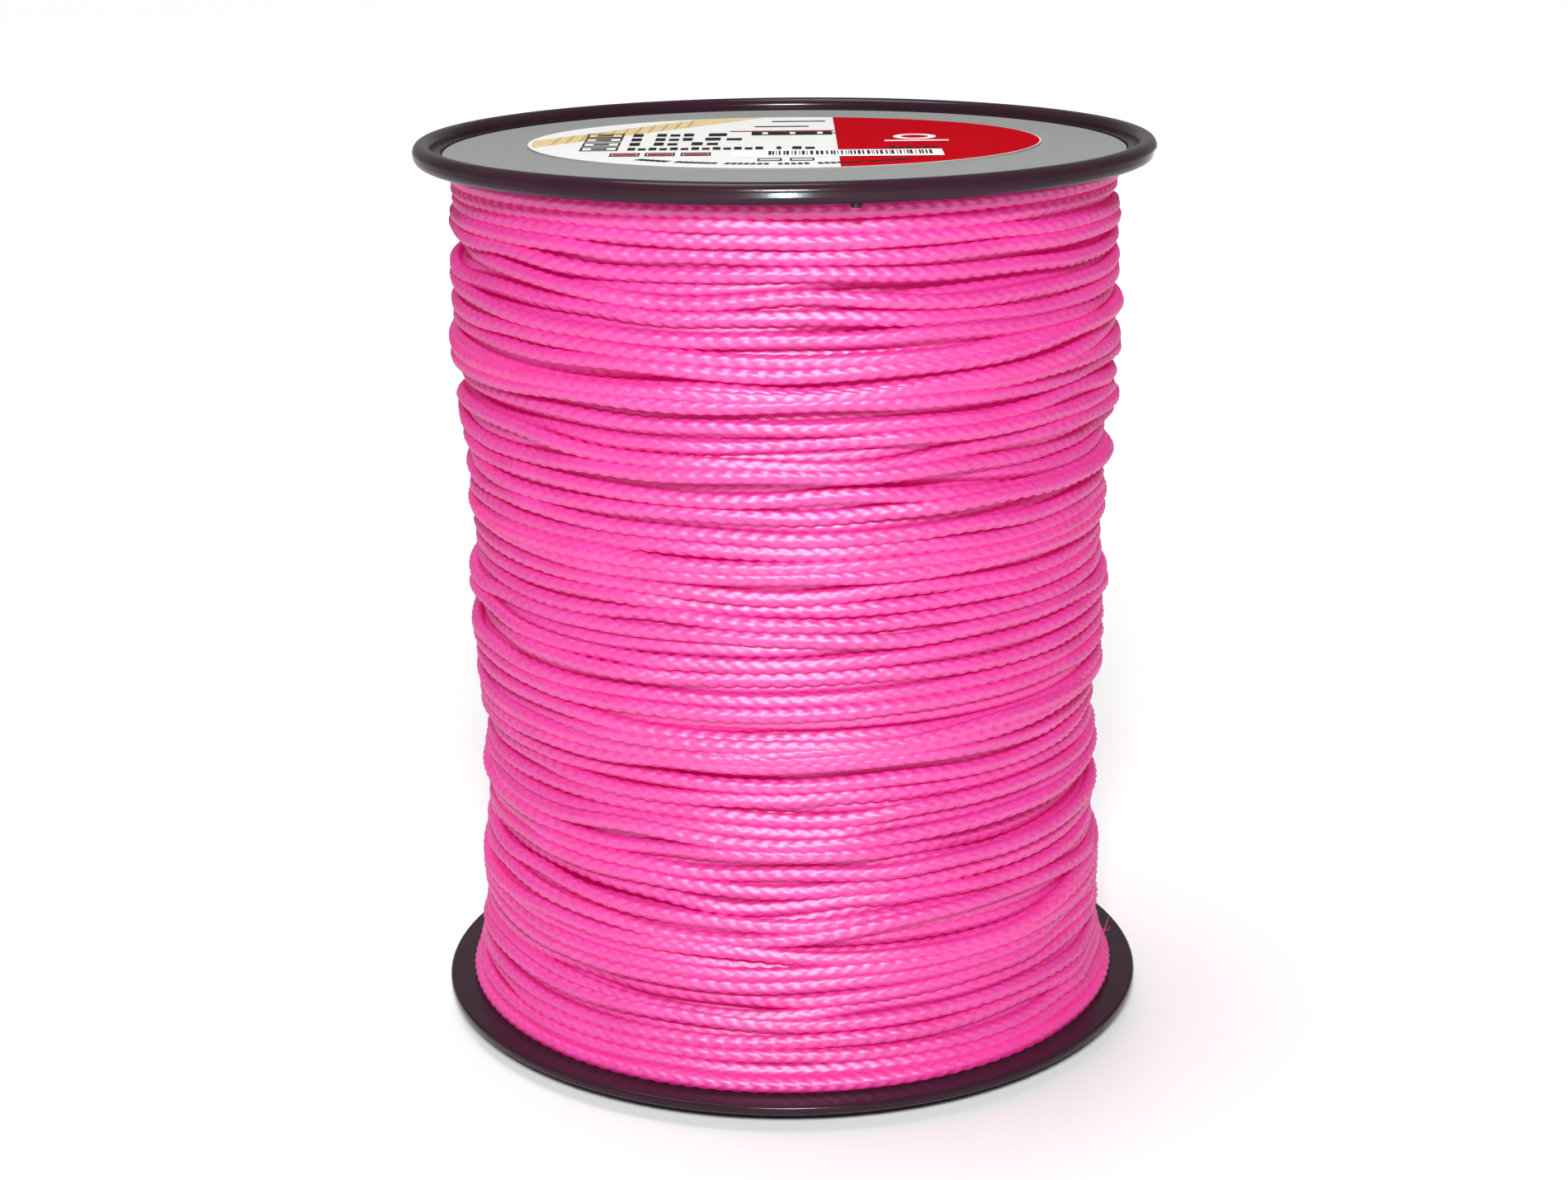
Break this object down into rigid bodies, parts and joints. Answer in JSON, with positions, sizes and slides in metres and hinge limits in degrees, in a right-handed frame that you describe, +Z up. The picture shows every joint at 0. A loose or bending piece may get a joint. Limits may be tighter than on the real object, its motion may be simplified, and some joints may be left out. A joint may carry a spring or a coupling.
{
  "type": "cord spool",
  "caption": "Upright two-flange moulded spool filled with braided cord, with a raised lip round a labelled top and a spindle bore from below.",
  "frame": {"origin": "centre of the lower flange's foot ring, on the surface that the spool stands on", "axes": "+Z up along the spool's axis, from the foot to the labelled top; -Y is the front, where the label's print reads upright; +X is to the right seen from the front"},
  "size_m": [0.085, 0.085, 0.1044],
  "materials": {
    "flange_plastic": "gloss",
    "barrel_plastic": "satin",
    "face_card": "matte",
    "label_paper": "satin",
    "cord": "satin"
  },
  "bodies": {
    "root": {"upper_flange": "flange_plastic", "lower_flange": "flange_plastic", "barrel": "barrel_plastic", "face_card": "face_card", "label": "label_paper", "cord_inner_layers": "cord", "cord_outer_layers": "cord", "cord_start_knot": "cord"}
  },
  "joints": []
}
